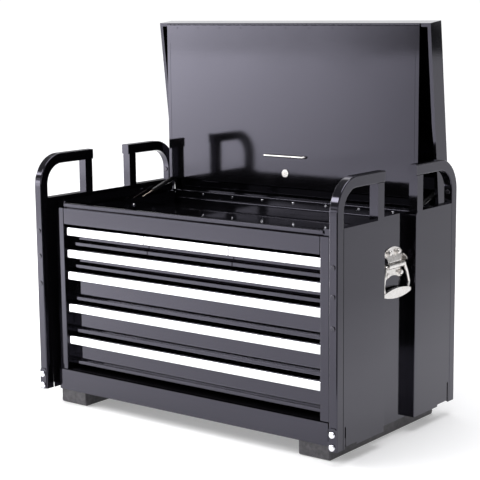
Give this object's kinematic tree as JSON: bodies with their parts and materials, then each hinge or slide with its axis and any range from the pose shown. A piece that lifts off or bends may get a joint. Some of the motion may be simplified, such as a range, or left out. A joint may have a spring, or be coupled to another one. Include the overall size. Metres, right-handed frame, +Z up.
{
  "type": "toolbox with drawers",
  "caption": "Black steel truck toolbox with drawers, open lid with hanging cover panel, side guards with grab loops, folding carry handles and skids.",
  "frame": {"origin": "on the ground, midway between the front-most bolt heads and the back of the open lid, on the left-right centre plane", "axes": "+X to the right as seen from the front, +Y from the front to the back, +Z up"},
  "size_m": [0.82, 0.5078, 0.8669],
  "materials": {
    "black_paint": "gloss",
    "skid_plastic": "textured",
    "zinc": "bright zinc",
    "plug_black": "satin",
    "pull_aluminium": "bright anodised",
    "nickel": "satin nickel",
    "strut_black": "semi-gloss",
    "strut_rod": "polished"
  },
  "bodies": {
    "chest": {"base_frame": "black_paint", "bolt_tabs": "black_paint", "cabinet_shell": "black_paint", "chest_hinge_leaf": "black_paint", "chest_hinge_pin": "zinc", "front_guard_left": "black_paint", "front_guard_right": "black_paint", "front_loop_left": "black_paint", "front_loop_right": "black_paint", "front_posts": "black_paint", "handle_plates": "nickel", "handle_rivets": "nickel", "hinge_rivets": "zinc", "loop_bolts": "zinc", "loop_plugs": "plug_black", "rear_guard_left": "black_paint", "rear_guard_right": "black_paint", "rear_loop_left": "black_paint", "rear_loop_right": "black_paint", "row_dividers": "black_paint", "side_plates": "black_paint", "skids": "skid_plastic", "slide_rails": "zinc", "strut_bolts": "zinc", "top_rail": "black_paint", "tray_pan": "black_paint"},
    "lid": {"lid_shell": "black_paint", "lid_hinge_leaf": "black_paint", "strut_studs": "zinc", "cover_hinge_top_leaf": "black_paint", "cover_hinge_pin": "zinc"},
    "cover": {"cover_panel": "black_paint", "cover_hinge_leaf": "black_paint", "cover_rivets": "black_paint", "cover_pull": "nickel", "lock_barrel": "nickel"},
    "lock": {"lock_plug": "nickel"},
    "strut_rod_l": {"strut_rod_left": "strut_rod"},
    "strut_rod_r": {"strut_rod_right": "strut_rod"},
    "strut_cylinder_l": {"strut_cylinder_left": "strut_black"},
    "strut_cylinder_r": {"strut_cylinder_right": "strut_black"},
    "handle_left": {"bail_left": "nickel"},
    "handle_right": {"bail_right": "nickel"},
    "drawer_5": {"drawer_5": "black_paint", "pull_5": "pull_aluminium"},
    "drawer_4": {"drawer_4": "black_paint", "pull_4": "pull_aluminium"},
    "drawer_3": {"drawer_3": "black_paint", "pull_3": "pull_aluminium"},
    "drawer_2": {"drawer_2": "black_paint", "pull_2": "pull_aluminium"},
    "drawer_1_left": {"drawer_1_left": "black_paint", "pull_1_left": "pull_aluminium"},
    "drawer_1_centre": {"drawer_1_centre": "black_paint", "pull_1_centre": "pull_aluminium"},
    "drawer_1_right": {"drawer_1_right": "black_paint", "pull_1_right": "pull_aluminium"}
  },
  "joints": [
    {"name": "lid_hinge", "type": "hinge", "parent": "chest", "child": "lid", "pos_m": [0, 0.18466, 0.452], "axis": [-1, 0, 0], "range_deg": [-83.4, 0]},
    {"name": "cover_hinge", "type": "hinge", "parent": "lid", "child": "cover", "pos_m": [0, 0.15526, 0.85841], "axis": [1, 0, 0], "range_deg": [-83.4, 0]},
    {"name": "lock_turn", "type": "hinge", "parent": "cover", "child": "lock", "pos_m": [0, 0.15526, 0.51891], "axis": [0, 1, 0], "range_deg": [0, 90]},
    {"name": "strut_tilt_l", "type": "hinge", "parent": "chest", "child": "strut_rod_l", "pos_m": [-0.361, 0.02066, 0.433], "axis": [1, 0, 0], "range_deg": [0, 3.23]},
    {"name": "strut_stroke_l", "type": "slide", "parent": "strut_rod_l", "child": "strut_cylinder_l", "axis": [0, 0.9555, 0.2949], "range_m": [-0.06056, 0]},
    {"name": "strut_tilt_r", "type": "hinge", "parent": "chest", "child": "strut_rod_r", "pos_m": [0.361, 0.02066, 0.433], "axis": [1, 0, 0], "range_deg": [0, 3.23]},
    {"name": "strut_stroke_r", "type": "slide", "parent": "strut_rod_r", "child": "strut_cylinder_r", "axis": [0, 0.9555, 0.2949], "range_m": [-0.06056, 0]},
    {"name": "bail_left", "type": "hinge", "parent": "chest", "child": "handle_left", "pos_m": [-0.3977, -0.01314, 0.371], "axis": [0, 1, 0], "range_deg": [0, 90]},
    {"name": "bail_right", "type": "hinge", "parent": "chest", "child": "handle_right", "pos_m": [0.3977, -0.01314, 0.371], "axis": [0, -1, 0], "range_deg": [0, 90]},
    {"name": "drawer_5_slide", "type": "slide", "parent": "chest", "child": "drawer_5", "axis": [0, -1, 0], "range_m": [0, 0.3]},
    {"name": "drawer_4_slide", "type": "slide", "parent": "chest", "child": "drawer_4", "axis": [0, -1, 0], "range_m": [0, 0.3]},
    {"name": "drawer_3_slide", "type": "slide", "parent": "chest", "child": "drawer_3", "axis": [0, -1, 0], "range_m": [0, 0.3]},
    {"name": "drawer_2_slide", "type": "slide", "parent": "chest", "child": "drawer_2", "axis": [0, -1, 0], "range_m": [0, 0.3]},
    {"name": "drawer_1_left_slide", "type": "slide", "parent": "chest", "child": "drawer_1_left", "axis": [0, -1, 0], "range_m": [0, 0.3]},
    {"name": "drawer_1_centre_slide", "type": "slide", "parent": "chest", "child": "drawer_1_centre", "axis": [0, -1, 0], "range_m": [0, 0.3]},
    {"name": "drawer_1_right_slide", "type": "slide", "parent": "chest", "child": "drawer_1_right", "axis": [0, -1, 0], "range_m": [0, 0.3]}
  ],
  "couplings": [
    {"joint": "strut_tilt_l", "follows": "lid_hinge", "ratio": -0.03752},
    {"joint": "strut_stroke_l", "follows": "lid_hinge", "m_per_rad": 0.041401},
    {"joint": "strut_tilt_r", "follows": "lid_hinge", "ratio": -0.03752},
    {"joint": "strut_stroke_r", "follows": "lid_hinge", "m_per_rad": 0.041401}
  ]
}
